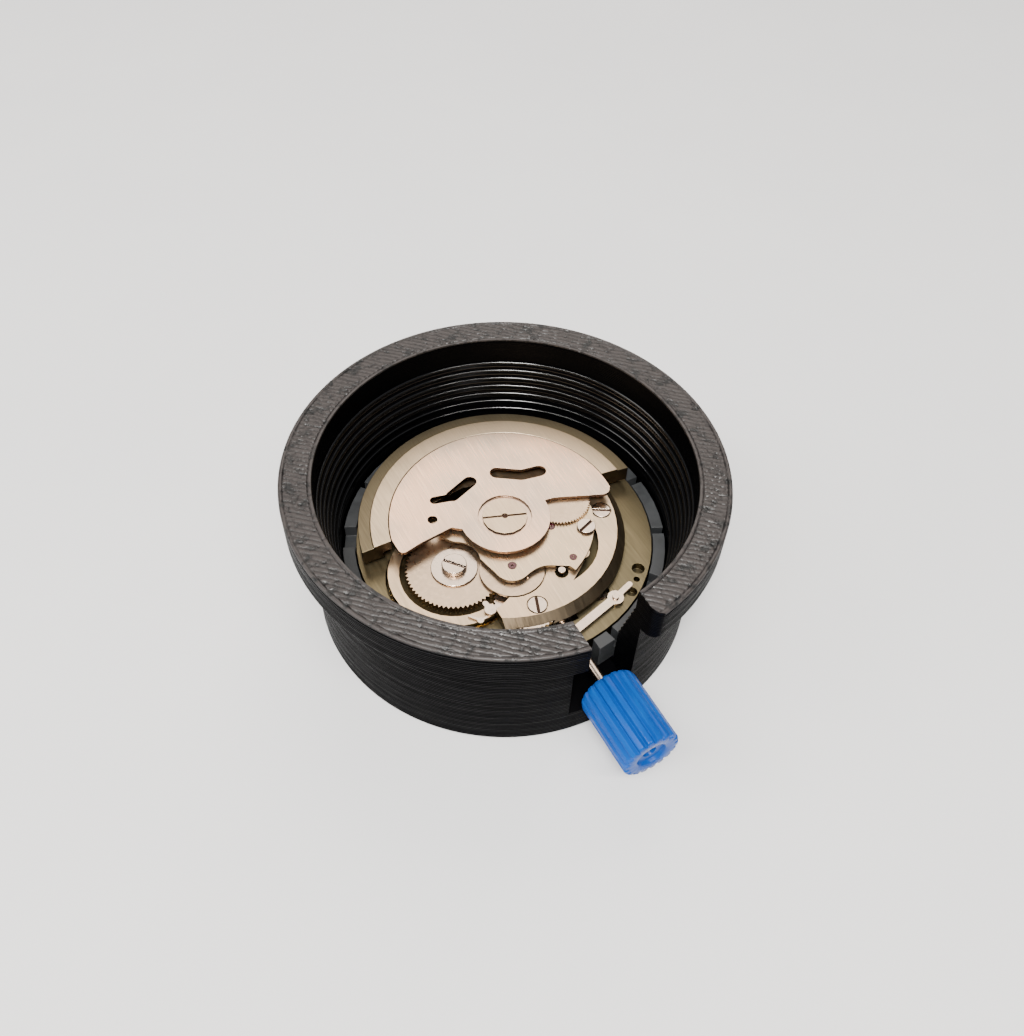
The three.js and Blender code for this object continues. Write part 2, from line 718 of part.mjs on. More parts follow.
// Winding stem along +Z of its own frame, from the pilot to the thread inside the knob.
function windingStem() {
  const groove = 12.45;
  const profile = [
    [0, stemInnerEnd],
    [0.25, stemInnerEnd],
    [0.25, 7.6],
    [0.38, 7.6],
    [0.38, windingStart],
    [stemRadius, windingStart],
    [stemRadius, groove - 0.25],
    [0.25, groove - 0.25],
    [0.25, groove + 0.25],
    [stemRadius, groove + 0.25],
    [stemRadius, knobStart + 0.3],
    [0.4, knobStart + 0.3],
    [0.4, knobStart + 4.4],
    [0, knobStart + 4.4],
  ];
  return turned(profile, 14);
}

function windingPinion() {
  const end = windingStart + windingLength;
  const blank = fineGear(windingTeeth, windingRadius - 0.12, 0.24, windingStart + runningGap, end);
  return cut(blank, disc(stemRadius + runningGap, 0, 20, centreAxis, 14));
}

// Sliding pinion: two toothed ends with the yoke's groove between them.
function slidingPinion() {
  const end = pinionStart + slidingLength;
  const blank = joined(
    fineGear(windingTeeth, windingRadius - 0.14, 0.18, pinionStart, pinionStart + 0.45),
    disc(0.62, pinionStart, end, centreAxis, 12),
    fineGear(windingTeeth, windingRadius - 0.14, 0.18, end - 0.5, end),
  );
  return cut(blank, disc(0.43, 0, 20, centreAxis, 12));
}

// Fluted knob with chamfered ends, a bore for the stem and a countersunk outer face.
function windingKnob() {
  const outline = [];
  const step = 360 / knobFlutes;
  for (let flute = 0; flute < knobFlutes; flute++) {
    outline.push(new THREE.Vector2(...polar(knobRadius, (flute - 0.26) * step)));
    outline.push(new THREE.Vector2(...polar(knobRadius, (flute + 0.26) * step)));
    outline.push(new THREE.Vector2(...polar(knobRadius - fluteDepth, (flute + 0.5) * step)));
  }
  const end = knobStart + knobLength;
  const envelope = [
    [0, knobStart],
    [knobRadius - 0.55, knobStart],
    [knobRadius + 0.1, knobStart + 0.6],
    [knobRadius + 0.1, end - 0.2],
    [knobRadius - 0.1, end],
    [1.5, end],
    [1.3, end - 0.35],
    [0.62, end - 0.35],
    [0.5, end - 1.4],
    [0, end - 1.4],
  ];
  const fluted = prism(new THREE.Shape(outline), knobStart - 1, end + 1);
  const bore = disc(stemRadius + runningGap, knobStart - 1, knobStart + 4.5, centreAxis, 14);
  return cut(fluted.intersect(turned(envelope, 24)), bore);
}

// Setting lever beside the stem: its pin hangs into the stem's groove.
function settingLever() {
  const toPin = [leverPinPoint[0] - settingLeverAxis[0], leverPinPoint[1] - settingLeverAxis[1]];
  return joined(
    disc(0.75, 2.85, 3.1, centreAxis, 12),
    bar(centreAxis, toPin, 0.8, 2.85, 3.1),
    bar(centreAxis, [1.3, 1.5], 0.55, 2.85, 3.1),
    disc(0.18, 2.42, 2.9, toPin, 8),
    disc(pivotRadius, 2.3, 2.9, centreAxis, 8),
    disc(0.3, 3.05, 3.3, centreAxis, 10),
  );
}

// Yoke: an arm whose tip lies in the sliding pinion's groove.
function yoke() {
  const tip = [yokeTip[0] - yokeAxis[0], yokeTip[1] - yokeAxis[1]];
  const arm = joined(disc(0.7, 2.0, 2.2, centreAxis, 12), bar(centreAxis, tip, 0.36, 2.0, 2.2));
  return cut(arm, disc(0.28 + runningGap, 1, 3, centreAxis, 10));
}

function cannonPinion() {
  const body = joined(
    gear(cannonTeeth, (motionModule * cannonTeeth) / 2, 0.18, 0.62, 0.8),
    disc(0.48, -1.3, 0.7, centreAxis, 12),
  );
  return cut(body, disc(0.24, -2, 2, centreAxis, 10));
}

function hourWheel() {
  const body = joined(
    fineGear(hourTeeth, (motionModule * hourTeeth) / 2, 0.18, 0.38, 0.54),
    disc(0.95, -0.8, 0.5),
  );
  return cut(body, disc(0.7, -2, 2, centreAxis, 14));
}

function minuteWheel() {
  const body = joined(
    fineGear(minuteTeeth, (motionModule * minuteTeeth) / 2, 0.18, 0.62, 0.8),
    gear(minutePinionTeeth, (motionModule * minutePinionTeeth) / 2, 0.18, 0.38, 0.7),
  );
  return cut(body, disc(0.28 + 0.04, 0, 2, centreAxis, 10));
}

function settingWheel() {
  const blank = fineGear(settingTeeth, (motionModule * settingTeeth) / 2, 0.18, 0.6, 0.8);
  return cut(blank, disc(0.28 + runningGap, 0, 2, centreAxis, 10));
}

const part = new THREE.Group();
add(part, "holder_body", holderBody(), printedBlack);

// The movement is laid out with its stem at stemAzimuth, then turned to bring the stem to -Y.
const movement = new THREE.Group();
movement.position.z = seatHeight;
movement.rotation.z = radians(-90 - stemAzimuth);
part.add(movement);

add(movement, "casing_ring", casingRing(), ringGrey);
add(movement, "mainplate", mainplate(), nickel);
add(movement, "dial_side_cover", dialCover(), nickel);
add(movement, "train_bridge", trainBridge(), nickel);
add(movement, "automatic_bridge", automaticBridge(), nickel);
add(movement, "balance_cock", balanceCock(), nickel);
add(movement, "pallet_bridge", palletBridge(), nickel);

// Going train
addAt(movement, "barrel_drum", barrelDrum(), brass, barrelAxis);
addAt(movement, "barrel_lid", ring(4.9, 0.75, 2.38, 2.52), brass, barrelAxis);
addAt(movement, "barrel_arbor", barrelArbor(), steel, barrelAxis);
addAt(movement, "mainspring", spiral(1.4, 4.7, 5, 0.16, 1.66, 2.28, 14), steel, barrelAxis);
const centreLayers = [
  [fineGear, centreTeeth, centrePitch, 1.15, 1.33],
  [gear, centrePinionTeeth, centrePinionPitch, 1.32, 1.78],
];
add(movement, "centre_wheel", wheelSet(centreLayers, -1.1, 3.1), brass);
const thirdLayers = [
  [gear, thirdPinionTeeth, centreWheelDistance - centrePitch, 1.13, 1.81],
  [fineGear, thirdTeeth, thirdPitch, 1.8, 1.98],
];
addAt(movement, "third_wheel", wheelSet(thirdLayers, 0.95, 3.05), brass, thirdAxis);
const fourthLayers = [
  [fineGear, fourthTeeth, fourthPitch, 1.48, 1.66],
  [gear, fourthPinionTeeth, thirdWheelDistance - thirdPitch, 1.65, 2.1],
];
addAt(movement, "fourth_wheel", wheelSet(fourthLayers, 0.95, 3.05), brass, fourthAxis);
const escapeLayers = [
  [gear, escapePinionTeeth, fourthWheelDistance - fourthPitch, 1.42, 1.73],
  [fineGear, escapeTeeth, escapeRadius - 0.2, 1.72, 1.85],
];
addAt(movement, "escape_wheel", wheelSet(escapeLayers, 0.95, 3.05), steel, escapeAxis);
addAt(movement, "pallet_fork", palletFork(), steel, forkAxis);
addAt(movement, "balance_wheel", balanceWheel(), brass, balanceAxis);
addAt(movement, "hairspring", hairspring(), steel, balanceAxis);

// Winding work
addAt(movement, "ratchet_wheel", ratchetWheel(), steel, barrelAxis);
addAt(movement, "ratchet_washer", ring(2.1, 0.45, 3.83, 3.98), steel, barrelAxis);
addAt(movement, "ratchet_screw", screw(1.12, 4.0, 4.5, 0, 0, -20), steel, barrelAxis);
const crownBlank = fineGear(crownTeeth, crownPitch, 0.16, 3.08, 3.42);
addAt(movement, "crown_wheel", crownBlank, steel, crownAxis);
addAt(movement, "click", click(), steel, clickAxis);
add(movement, "click_spring", clickSpring(), steel);

// Automatic winding
addAt(movement, "first_reduction_wheel", firstReductionWheel(), nickel, firstReductionAxis);
addAt(movement, "second_reduction_wheel", secondReductionWheel(), nickel, secondReductionAxis);
addAt(movement, "pawl_lever", pawlLever(), steel, firstReductionAxis);
add(movement, "rotor_bearing_core", bearingCore(), steel);
add(movement, "rotor_screw", rotorScrew(), nickel);
add(movement, "rotor_gear", rotorGear(), steel);
add(movement, "rotor_plate", rotorPlate(), rotorNickel);
add(movement, "rotor_weight", rotorWeight(), weightTan);

// Fasteners and jewels
const bridgeScrews = [
  ["train_bridge_screw_front", frontScrewPoint, screw(0.85, 3.9, 4.14, 0.35, 3.6, 100)],
  ["train_bridge_screw_side", sideScrewPoint, screw(0.85, 3.9, 4.14, 0.35, 3.2, 0)],
  ["automatic_bridge_screw", autoScrewPoint, screw(0.85, 4.64, 4.9, 0.35, 4.5, 50)],
  ["balance_cock_screw", cockFootPoint, screw(0.85, 3.84, 4.12, 0.35, 3.4, 30)],
];
for (const [name, centre, solid] of bridgeScrews) addAt(movement, name, solid, steel, centre);
for (const [name, centre, radius] of autoJewels) {
  addAt(movement, name, jewel(radius, autoBridgeTop - 0.1, autoBridgeTop + 0.03), ruby, centre);
}
addAt(movement, "jewel_balance", jewel(0.9, bridgeTop - 0.27, bridgeTop + 0.02), ruby, balanceAxis);
const guidePin = joined(disc(0.2, 3.55, 4.2, centreAxis, 8), disc(0.34, 4.15, 4.5, centreAxis, 12));
addAt(movement, "guide_pin", guidePin, steel, guidePinPoint);

// Motion works and keyless work
add(movement, "cannon_pinion", cannonPinion(), steel);
add(movement, "hour_wheel", hourWheel(), brass);
addAt(movement, "minute_wheel", minuteWheel(), brass, minuteAxis);
addAt(movement, "setting_wheel", settingWheel(), steel, settingAxis);
addAt(movement, "setting_lever", settingLever(), steel, settingLeverAxis);
addAt(movement, "yoke", yoke(), steel, yokeAxis);

// Stem line: its +Z runs outwards along -Y at the stem's height.
const stemLine = new THREE.Group();
stemLine.position.z = seatHeight + stemHeight;
stemLine.rotation.x = Math.PI / 2;
part.add(stemLine);
add(stemLine, "winding_stem", windingStem(), steel);
add(stemLine, "winding_pinion", windingPinion(), steel);
add(stemLine, "sliding_pinion", slidingPinion(), steel);
add(stemLine, "winding_knob", windingKnob(), knobBlue);

export default part;
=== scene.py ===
import bpy
import json
import math
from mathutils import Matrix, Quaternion, Vector, noise

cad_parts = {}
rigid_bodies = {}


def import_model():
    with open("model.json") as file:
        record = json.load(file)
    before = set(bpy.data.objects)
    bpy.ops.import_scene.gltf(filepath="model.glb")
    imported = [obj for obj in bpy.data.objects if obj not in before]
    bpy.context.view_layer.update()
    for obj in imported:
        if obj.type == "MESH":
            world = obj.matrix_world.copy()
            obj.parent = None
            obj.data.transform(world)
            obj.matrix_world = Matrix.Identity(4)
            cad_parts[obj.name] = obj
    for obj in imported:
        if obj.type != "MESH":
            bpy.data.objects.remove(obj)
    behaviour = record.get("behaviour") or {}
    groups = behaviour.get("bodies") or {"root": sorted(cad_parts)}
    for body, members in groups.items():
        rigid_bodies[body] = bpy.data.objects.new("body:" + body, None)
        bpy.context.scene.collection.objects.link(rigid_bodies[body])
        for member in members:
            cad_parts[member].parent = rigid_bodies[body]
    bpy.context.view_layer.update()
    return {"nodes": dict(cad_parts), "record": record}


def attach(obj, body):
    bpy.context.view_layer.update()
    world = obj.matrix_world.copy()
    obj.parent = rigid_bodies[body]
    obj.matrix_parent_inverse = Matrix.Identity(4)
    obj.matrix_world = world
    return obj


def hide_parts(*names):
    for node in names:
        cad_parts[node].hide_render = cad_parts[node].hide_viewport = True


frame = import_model()
nodes = frame["nodes"]
mm = 0.001


# Objects and edit mode

def onlyThis(piece):
    for thing in bpy.context.selected_objects:
        thing.select_set(False)
    bpy.context.view_layer.objects.active = piece
    piece.select_set(True)


def editAll(piece):
    onlyThis(piece)
    bpy.ops.object.mode_set(mode="EDIT")
    bpy.ops.mesh.select_mode(type="VERT")
    bpy.ops.mesh.select_all(action="SELECT")


def objectMode():
    bpy.ops.object.mode_set(mode="OBJECT")


# from edit mode to edit mode, with only the vertices chosen by their place selected
def pickVertices(piece, chosen):
    bpy.ops.mesh.select_all(action="DESELECT")
    objectMode()
    for vertex in piece.data.vertices:
        vertex.select = chosen(vertex.co)
    bpy.ops.object.mode_set(mode="EDIT")


def applyModifier(piece, kind, **settings):
    onlyThis(piece)
    modifier = piece.modifiers.new(kind.lower(), kind)
    for setting, value in settings.items():
        setattr(modifier, setting, value)
    bpy.ops.object.modifier_apply(modifier=modifier.name)


# one point, extruded from place to place; the piece is left in edit mode
def drawLine(name, points):
    bpy.ops.mesh.primitive_plane_add(size=1, location=(0, 0, 0))
    piece = bpy.context.active_object
    piece.name = piece.data.name = name
    editAll(piece)
    bpy.ops.mesh.merge(type="CENTER")
    bpy.ops.transform.translate(value=points[0])
    for start, end in zip(points, points[1:]):
        step = Vector(end) - Vector(start)
        bpy.ops.mesh.extrude_region_move(TRANSFORM_OT_translate={"value": step})
    return piece


# a (radius, height) line spun about the upright axis
def spunPiece(name, profile, steps):
    piece = drawLine(name, [(radius, 0, height) for radius, height in profile])
    bpy.ops.mesh.select_all(action="SELECT")
    bpy.ops.mesh.spin(steps=steps, angle=math.tau, center=(0, 0, 0), axis=(0, 0, 1))
    bpy.ops.mesh.select_all(action="SELECT")
    bpy.ops.mesh.remove_doubles(threshold=0.002)
    bpy.ops.mesh.normals_make_consistent(inside=False)
    objectMode()
    return piece


def toMetres(piece):
    onlyThis(piece)
    piece.scale = (mm, mm, mm)
    bpy.ops.object.transform_apply(location=True, rotation=True, scale=True)


def finishPiece(piece, slotName, body, *standsFor):
    toMetres(piece)
    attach(piece, body)
    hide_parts(*standsFor)


def wear(piece, *materials):
    piece.data.materials.clear()
    for material in materials:
        piece.data.materials.append(material)


# gives the faces that pass the test the piece's second, third... material
def paintFaces(piece, index, chosen):
    for face in piece.data.polygons:
        if chosen(face.center, face.normal):
            face.material_index = index


# Shader nodes

def startMaterial(name, color, roughness, metallic=0.0):
    material = bpy.data.materials.new(name)
    material.use_nodes = True
    shader = material.node_tree.nodes["Principled BSDF"]
    shader.inputs["Base Color"].default_value = (*color, 1)
    shader.inputs["Roughness"].default_value = roughness
    shader.inputs["Metallic"].default_value = metallic
    return material


def shaderOf(material):
    return material.node_tree.nodes["Principled BSDF"].inputs


def feed(material, socket, value):
    if isinstance(value, bpy.types.NodeSocket):
        material.node_tree.links.new(value, socket)
    else:
        socket.default_value = value


def addNode(material, kind, inputs, **settings):
    made = material.node_tree.nodes.new(kind)
    for setting, value in settings.items():
        setattr(made, setting, value)
    for name, value in inputs.items():
        feed(material, made.inputs[name], value)
    return made.outputs


def place(material, scale=(1, 1, 1), turn=0.0):
    spot = addNode(material, "ShaderNodeTexCoord", {})["Object"]
    return addNode(material, "ShaderNodeMapping",
                   {"Vector": spot, "Scale": scale, "Rotation": (0, 0, turn)})[0]


# the place along one axis, in metres
def along(material, axis, turn=0.0):
    return addNode(material, "ShaderNodeSeparateXYZ", {"Vector": place(material, turn=turn)})[axis]


def cloud(material, scale, detail=3.0, spot=None):
    spot = spot or place(material)
    return addNode(material, "ShaderNodeTexNoise",
                   {"Vector": spot, "Scale": scale, "Detail": detail, "Roughness": 0.6})["Fac"]


def calc(material, operation, first, second=0.0):
    return addNode(material, "ShaderNodeMath", {0: first, 1: second}, operation=operation)[0]


def remap(material, value, low, high, newLow, newHigh):
    return addNode(material, "ShaderNodeMapRange",
                   {"Value": value, 1: low, 2: high, 3: newLow, 4: newHigh})[0]


def mixColors(material, factor, first, second):
    first = (*first, 1) if isinstance(first, tuple) else first
    second = (*second, 1) if isinstance(second, tuple) else second
    return addNode(material, "ShaderNodeMix", {0: factor, 6: first, 7: second}, data_type="RGBA")[2]


def bump(material, height, depth, under=None):
    inputs = {"Height": height, "Strength": 1.0, "Distance": depth}
    if under:
        inputs["Normal"] = under
    return addNode(material, "ShaderNodeBump", inputs)[0]


# 0 on faces that look up or down, 1 on upright walls: the mask for the painted shade on walls
def wallShadeMask(material):
    normal = addNode(material, "ShaderNodeTexCoord", {})["Normal"]
    up = addNode(material, "ShaderNodeSeparateXYZ", {"Vector": normal})[2]
    return remap(material, calc(material, "ABSOLUTE", up), 0.5, 0.9, 1.0, 0.0)


# straight parallel lines across the piece, a triangle wave from 0 to 1
def lines(material, pitch, axis, turn=0.0):
    wave = calc(material, "PINGPONG", along(material, axis, turn), pitch / 2)
    return calc(material, "MULTIPLY", wave, 2 / pitch)


# Printed cup finishes
printFinish = {
    "layer": 0.2 * mm,
    "grain": 5200,
    "rasterTurn": math.radians(-43),
}


def printedFinish(name, color, roughness, layerDepth, grainDepth, gloss):
    material = startMaterial(name, color, roughness)
    inputs = shaderOf(material)
    layers = lines(material, printFinish["layer"], 2)
    streaks = cloud(material, 1.0, 4, place(material, (120, 120, 2600)))
    patches = cloud(material, 260, 3)
    tone = remap(material, patches, 0.35, 0.7, 0.75, 1.35)
    shade = mixColors(material, tone, (0, 0, 0), color)
    feed(material, inputs["Base Color"], shade)
    feed(material, inputs["Roughness"],
         remap(material, streaks, 0.3, 0.7, roughness * 0.7, min(1.0, roughness * 1.45)))
    rounded = calc(material, "SMOOTH_MIN", layers, 0.6)
    uneven = calc(material, "ADD", rounded, calc(material, "MULTIPLY", streaks, 0.9))
    under = bump(material, uneven, layerDepth)
    grain = cloud(material, printFinish["grain"], 3)
    feed(material, inputs["Normal"], bump(material, grain, grainDepth, under))
    inputs["IOR"].default_value = gloss
    return material


# the low IOR keeps the black from going grey under the studio lights; the ledges alone are glossy
printedOutside = printedFinish("printed_black_outside", (0.0014, 0.0014, 0.0018), 0.36,
                               0.02 * mm, 0.006 * mm, 1.09)
printedBore = printedFinish("printed_black_bore", (0.001, 0.001, 0.0012), 0.2,
                            0.006 * mm, 0.002 * mm, 1.07)
printedLedge = printedFinish("printed_black_ledge", (0.001, 0.001, 0.0012), 0.12,
                             0.004 * mm, 0.006 * mm, 1.55)


# the rim's colour holds painted light and shade: strands lighter on their crests and darker between them, and
# the grooves and the pits darkened with painted shade
def rimFinish():
    material = startMaterial("printed_black_rim", (0.05, 0.045, 0.045), 0.42)
    inputs = shaderOf(material)
    strands = cloud(material, 1.0, 3, place(material, (2400, 300, 300), printFinish["rasterTurn"]))
    pitsAndPitShade = remap(material, cloud(material, 900, 4), 0.36, 0.48, 0.0, 1.0)
    groove = addNode(material, "ShaderNodeAttribute", {}, attribute_name="groove")["Fac"]
    strandLitAndShaded = mixColors(material, strands, (0.011, 0.009, 0.009), (0.047, 0.038, 0.035))
    grooveShadeMask = remap(material, groove, 0.25, 0.9, 0.0, 1.0)
    grooveShaded = mixColors(material, grooveShadeMask, strandLitAndShaded, (0.003, 0.0025, 0.0025))
    feed(material, inputs["Base Color"], mixColors(material, pitsAndPitShade, (0.003, 0.003, 0.003), grooveShaded))
    feed(material, inputs["Roughness"], remap(material, strands, 0.3, 0.7, 0.34, 0.55))
    rough = calc(material, "ADD", calc(material, "MULTIPLY", pitsAndPitShade, 0.8), strands)
    feed(material, inputs["Normal"], bump(material, rough, 0.05 * mm))
    return material


printedRim = rimFinish()
print("materials of the cup are ready")

# Printed cup: sizes follow the frame's holder_body
cup = {
    "height": 15.7, "rimOuter": 19.3, "rimInner": 16.5, "collarBottom": 12.2, "neck": 11.7,
    "body": 17.55, "chamfer": 0.3, "layer": 0.25, "layerDepth": 0.035,
    "funnelTop": 13.0, "funnelBottom": 7.3, "ledges": 7, "seatBore": 15.0,
    "seat": 3.8, "relief": 10.0, "floor": 1.5,
    "slotHalf": 3.0, "slotFloor": 3.0, "slotEnd": 12.0, "slotCorner": 1.2, "cornerSteps": 8,
    "capDepth": 0.4, "capGap": 0.02, "steps": 200,
}

# one ledge of the funnel from the top down: how far each point lies outside the nose, and below the top.
# The nose is chamfered, and two finer layer lines stand under it
ledgeNose = [(0.11, 0), (0.02, 0.09), (0, 0.17), (0.015, 0.24), (0.09, 0.31)]
ledgeLines = [(0.05, 0.4), (0.1, 0.5), (0.05, 0.6), (0.08, 0.7)]


# an upright wall between two heights, a shallow groove between each two layers
def layeredWall(radius, bottom, top):
    count = max(1, round(abs(top - bottom) / cup["layer"]))
    rise = (top - bottom) / count
    wall = []
    for layer in range(count):
        low = bottom + layer * rise
        wall += [(radius - cup["layerDepth"], low + 0.06 * rise), (radius, low + 0.3 * rise),
                 (radius, low + 0.75 * rise)]
    return wall


def funnelLedge(radius, top, height, tread):
    ledge = [(radius + tread, top)]
    ledge += [(radius + out, top - drop) for out, drop in ledgeNose + ledgeLines]
    return ledge + [(radius + 0.05, top - height + 0.02)]


def cupProfile():
    line = [(0, 0), (cup["body"] - cup["chamfer"], 0)]
    line += layeredWall(cup["body"], cup["chamfer"], cup["neck"])
    line += [(cup["body"], cup["neck"]), (cup["rimOuter"] - cup["chamfer"], cup["collarBottom"])]
    collarTop = cup["height"] - cup["capDepth"] - cup["capGap"]
    line += layeredWall(cup["rimOuter"], cup["collarBottom"] + cup["chamfer"], collarTop)
    line += [(cup["rimInner"], collarTop)]
    drop = (cup["funnelTop"] - cup["funnelBottom"]) / cup["ledges"]
    tread = (cup["rimInner"] - cup["seatBore"]) / cup["ledges"]
    for ledge in range(cup["ledges"]):
        radius = cup["rimInner"] - (ledge + 1) * tread
        line += funnelLedge(radius, cup["funnelTop"] - ledge * drop, drop, tread)
    line += [(cup["seatBore"], cup["funnelBottom"]), (cup["seatBore"], cup["seat"]),
             (cup["relief"], cup["seat"]), (cup["relief"], cup["floor"]), (0, cup["floor"])]
    return line


# the space of the stem's slot, which rounds the cup's outer corner on the +X side
def slotTool():
    half, corner = cup["slotHalf"], cup["slotCorner"]
    outside = -cup["rimOuter"] - 1
    cornerY = -math.sqrt(cup["rimOuter"] ** 2 - half ** 2) + corner
    plan = [(-half, -cup["slotEnd"]), (-half, outside), (half + corner, outside)]
    for step in range(cup["cornerSteps"] + 1):
        angle = math.radians(270 - 90 * step / cup["cornerSteps"])
        plan.append((half + corner + corner * math.cos(angle), cornerY + corner * math.sin(angle)))
    plan.append((half, -cup["slotEnd"]))
    tool = drawLine("slot_tool", [(x, y, cup["slotFloor"]) for x, y in plan])
    bpy.ops.mesh.select_all(action="SELECT")
    bpy.ops.mesh.edge_face_add()
    bpy.ops.mesh.extrude_region_move(TRANSFORM_OT_translate={"value": (0, 0, cup["height"])})
    bpy.ops.mesh.select_all(action="SELECT")
    bpy.ops.mesh.normals_make_consistent(inside=False)
    objectMode()
    return tool


# the walls and the floor of the slot, which the print left rough
def inSlot(spot):
    return spot.y < -cup["slotEnd"] + 0.01 and abs(spot.x) < cup["slotHalf"] + 0.01


def cutSlot(piece):
    tool = slotTool()
    applyModifier(piece, "BOOLEAN", operation="DIFFERENCE", solver="EXACT", object=tool)
    bpy.data.objects.remove(tool)


# the surfaces inside the cup, under the rim
def onBore(centre, normal):
    return centre.xy.length < cup["rimInner"] + 0.01 and centre.z > cup["floor"] - 0.1 and not inSlot(centre)


# the slanting faces of the funnel's ledges, which catch the light
def onNose(centre, normal):
    inFunnel = cup["seatBore"] - 0.01 < centre.xy.length < cup["rimInner"] - 0.02
    atHeight = cup["funnelBottom"] < centre.z < cup["funnelTop"] + 0.01
    return inFunnel and atHeight and 0.1 < normal.z < 0.9 and not inSlot(centre)


cupBody = spunPiece("cup_body", cupProfile(), cup["steps"])
cutSlot(cupBody)
wear(cupBody, printedOutside, printedBore, printedLedge)
paintFaces(cupBody, 1, onBore)
paintFaces(cupBody, 2, onNose)
bpy.ops.object.shade_smooth_by_angle(angle=math.radians(50))
print("cup body:", len(cupBody.data.polygons), "faces")

# Rim of the cup: perimeter strands at both edges and slanting infill strands between them
rim = {
    "steps": 1300, "rings": 40, "strandDepth": 0.11, "strandPitch": 0.46,
    "strandTurn": math.radians(47), "perimeter": 0.42, "wobble": 0.05, "deepest": 0.16,
}


def rimProfile():
    top, bottom = cup["height"], cup["height"] - cup["capDepth"]
    inner, outer = cup["rimInner"], cup["rimOuter"]
    line = [(inner, bottom), (outer - 0.03, bottom), (outer - 0.05, bottom + 0.08),
            (outer, bottom + 0.14), (outer, top - 0.16), (outer - 0.1, top - 0.04)]
    for ringIndex in range(rim["rings"] + 1):
        share = ringIndex / rim["rings"]
        line.append((outer - 0.2 + (inner + 0.32 - outer) * share, top))
    return line + [(inner + 0.04, top - 0.04), (inner, top - 0.16), (inner, bottom)]


# how far the top of the rim lies under its highest strands
def rimSink(x, y):
    radius = math.hypot(x, y)
    fromEdge = min(radius - cup["rimInner"], cup["rimOuter"] - radius)
    wander = noise.noise(Vector((x * 0.6, y * 0.6, 0))) * 0.12
    if fromEdge < rim["perimeter"]:
        strand = abs(math.sin(math.pi * (fromEdge + wander * 0.2) / (rim["perimeter"] * 0.9)))
    else:
        across = x * math.cos(rim["strandTurn"]) + y * math.sin(rim["strandTurn"]) + wander
        strand = abs(math.sin(math.pi * across / rim["strandPitch"]))
    pit = max(0.0, noise.noise(Vector((x * 1.9, y * 1.9, 4.0))) - 0.4) * 0.22
    rough = (noise.noise(Vector((x * 6, y * 6, 9.0))) + 1) * 0.5 * rim["wobble"]
    return rim["strandDepth"] * (1 - strand ** 0.6) + pit + rough


rimCap = spunPiece("cup_rim", rimProfile(), rim["steps"])
for vertex in rimCap.data.vertices:
    if vertex.co.z > cup["height"] - 0.01:
        vertex.co.z -= rimSink(vertex.co.x, vertex.co.y)
cutSlot(rimCap)
# each point's depth under the highest strands, which the rim's material turns into painted shade in the
# grooves
grooves = rimCap.data.attributes.new("groove", "FLOAT", "POINT")
for index, vertex in enumerate(rimCap.data.vertices):
    onTop = vertex.co.z > cup["height"] - 0.35 and vertex.co.xy.length <= cup["rimOuter"] - 0.02
    grooves.data[index].value = rimSink(vertex.co.x, vertex.co.y) / rim["deepest"] if onTop else 0.0
wear(rimCap, printedRim, printedOutside, printedBore)
paintFaces(rimCap, 1, lambda centre, normal: normal.z < 0.3 and centre.xy.length > cup["rimInner"] + 0.5)
paintFaces(rimCap, 2, lambda centre, normal: normal.z < 0.3 and centre.xy.length <= cup["rimInner"] + 0.1
           and not inSlot(centre))
bpy.ops.object.shade_smooth_by_angle(angle=math.radians(60))
print("cup rim:", len(rimCap.data.polygons), "faces")

finishPiece(cupBody, "printed_black", "holder", "holder_body")
finishPiece(rimCap, "printed_black", "holder", "holder_body")


# Metal finishes

# brushed metal: colour changes softly over the piece, fine scratches run one way, upright walls are darkened
# with painted shade
def brushedMetal(name, warm, cool, wall, roughness, turn, scratch):
    material = startMaterial(name, warm, roughness, 1.0)
    inputs = shaderOf(material)
    drift = remap(material, cloud(material, 110, 2), 0.35, 0.65, 0.0, 1.0)
    strokes = cloud(material, 1.0, 5, place(material, (9000, 350, 350), turn))
    body = mixColors(material, drift, warm, cool)
    body = mixColors(material, remap(material, strokes, 0.3, 0.7, 0.0, 0.12), body, wall)
    # the wall colour also darkens the strokes; on upright walls it is painted shade
    feed(material, inputs["Base Color"], mixColors(material, wallShadeMask(material), body, wall))
    feed(material, inputs["Roughness"],
         remap(material, strokes, 0.3, 0.7, roughness * 0.8, roughness * 1.25))
    speckle = calc(material, "MULTIPLY", cloud(material, 7000, 2), 0.4)
    feed(material, inputs["Normal"], bump(material, calc(material, "ADD", strokes, speckle), scratch))
    return material


# small metal parts: a fine even grain, with walls darkened by painted shade and faint smudges
def plainMetal(name, color, smudgeAndWallShade, roughness, scratch):
    material = startMaterial(name, color, roughness, 1.0)
    inputs = shaderOf(material)
    grain = cloud(material, 2600, 4)
    smudge = remap(material, cloud(material, 500, 3), 0.3, 0.75, 0.0, 0.1)
    face = mixColors(material, smudge, color, smudgeAndWallShade)
    # painted shade: upright walls take the dark colour
    feed(material, inputs["Base Color"], mixColors(material, wallShadeMask(material), face, smudgeAndWallShade))
    feed(material, inputs["Roughness"], remap(material, grain, 0.3, 0.7, roughness * 0.8, roughness * 1.25))
    feed(material, inputs["Normal"], bump(material, grain, scratch))
    return material
